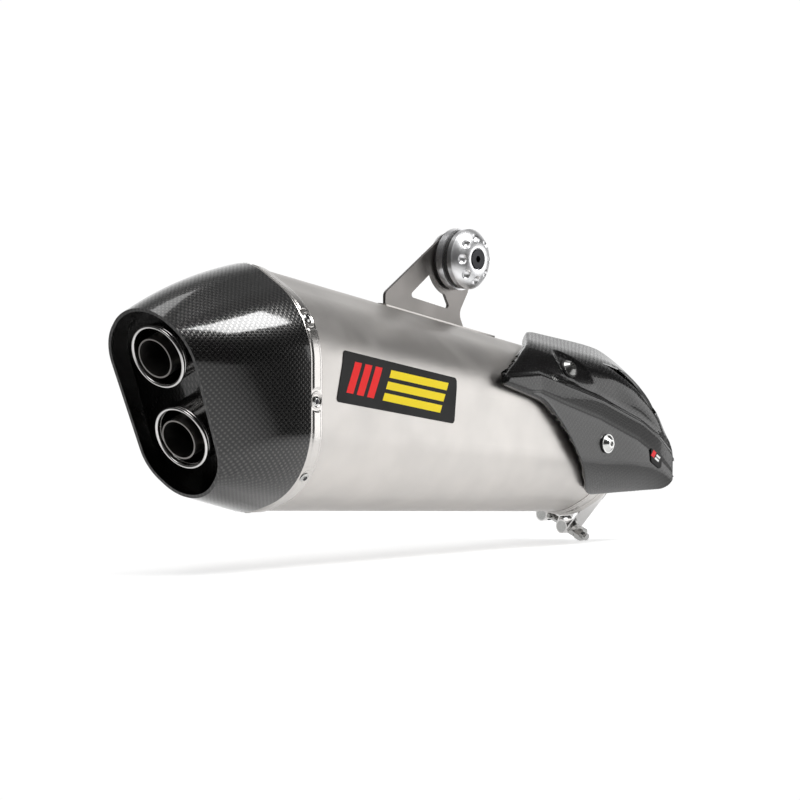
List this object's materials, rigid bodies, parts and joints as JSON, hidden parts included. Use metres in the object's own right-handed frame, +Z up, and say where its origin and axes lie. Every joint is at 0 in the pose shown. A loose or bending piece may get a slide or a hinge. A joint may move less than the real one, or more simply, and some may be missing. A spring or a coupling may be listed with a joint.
{
  "type": "racing exhaust silencer",
  "caption": "Slip-on racing silencer with a tapered titanium sleeve, carbon end cap with twin outlets, rubber-bushed hanger bracket, band clamp and carbon heat shield.",
  "frame": {"origin": "centre of the inlet pipe's mouth", "axes": "+X out of the inlet, along the silencer; +Z up; the outer side with the heat shield faces -Y"},
  "size_m": [0.5812, 0.139, 0.2558],
  "materials": {
    "satin_titanium": "bead-blasted satin titanium sheet",
    "titanium_band": "brushed titanium band",
    "carbon": "clear-coated carbon fibre laminate",
    "polished_steel": "polished stainless steel",
    "pipe_steel": "plain stainless tube, dull",
    "pressed_steel": "plain pressed stainless sheet",
    "glass_wool": "needled glass and basalt wool",
    "bracket_titanium": "dark satin titanium plate",
    "machined_aluminium": "turned and bead-blasted aluminium",
    "black_rubber": "moulded rubber",
    "zinc_steel": "zinc-plated steel fasteners",
    "black_steel": "black-oxide steel bolt",
    "plate_black": "glossy printed foil"
  },
  "bodies": {
    "root": {"sleeve": "satin_titanium", "end_cap": "carbon", "end_cap_floor": "carbon", "outlet_ring_upper": "polished_steel", "outlet_ring_lower": "polished_steel", "tail_pipe_upper": "pipe_steel", "tail_pipe_lower": "pipe_steel", "outlet_spacers_upper": "pipe_steel", "outlet_spacers_lower": "pipe_steel", "tail_elbow_upper": "pipe_steel", "tail_elbow_lower": "pipe_steel", "rear_band": "titanium_band", "rear_rivets": "zinc_steel", "rear_bulkhead": "pressed_steel", "mid_baffle": "pressed_steel", "front_baffle": "pressed_steel", "core_tube": "pipe_steel", "packing": "glass_wool", "front_cap": "titanium_band", "front_band": "titanium_band", "front_rivets": "zinc_steel", "inlet_pipe": "pipe_steel", "bracket_pad": "satin_titanium", "hanger_bracket": "bracket_titanium", "bush_rubber": "black_rubber", "bush_ring": "machined_aluminium", "heat_shield": "carbon", "grommet_upper": "black_rubber", "grommet_lower": "black_rubber", "screw_washer_upper": "zinc_steel", "screw_washer_lower": "zinc_steel", "shield_screw_upper": "zinc_steel", "shield_screw_lower": "zinc_steel", "shield_standoff_upper": "zinc_steel", "shield_standoff_lower": "zinc_steel", "name_plate": "plate_black", "shield_badge": "plate_black"},
    "clamp": {"clamp_band": "polished_steel", "t_bolt": "zinc_steel", "clamp_trunnion": "zinc_steel", "clamp_saddle": "zinc_steel"},
    "clamp_nut": {"clamp_nut": "zinc_steel"},
    "bush_core": {"bush_core": "zinc_steel", "domed_washer": "machined_aluminium", "back_washer": "machined_aluminium"},
    "hanger_bolt": {"hanger_bolt": "black_steel"}
  },
  "joints": [
    {"name": "clamp_turn", "type": "hinge", "parent": "root", "child": "clamp", "pos_m": [-0.012, 0, 0], "axis": [1, 0, 0], "range_deg": [-50, 75]},
    {"name": "clamp_nut_turn", "type": "hinge", "parent": "clamp", "child": "clamp_nut", "pos_m": [-0.012, -0.00515, -0.04991], "axis": [0, -0.9135, -0.4067], "continuous": true},
    {"name": "bush_twist", "type": "hinge", "parent": "root", "child": "bush_core", "pos_m": [-0.1728, 0, 0.1753], "axis": [0, 1, 0], "range_deg": [-6, 6], "stiffness_Nm_per_rad": 6},
    {"name": "hanger_bolt_turn", "type": "hinge", "parent": "bush_core", "child": "hanger_bolt", "pos_m": [-0.1728, 0, 0.1753], "axis": [0, 1, 0], "continuous": true}
  ]
}
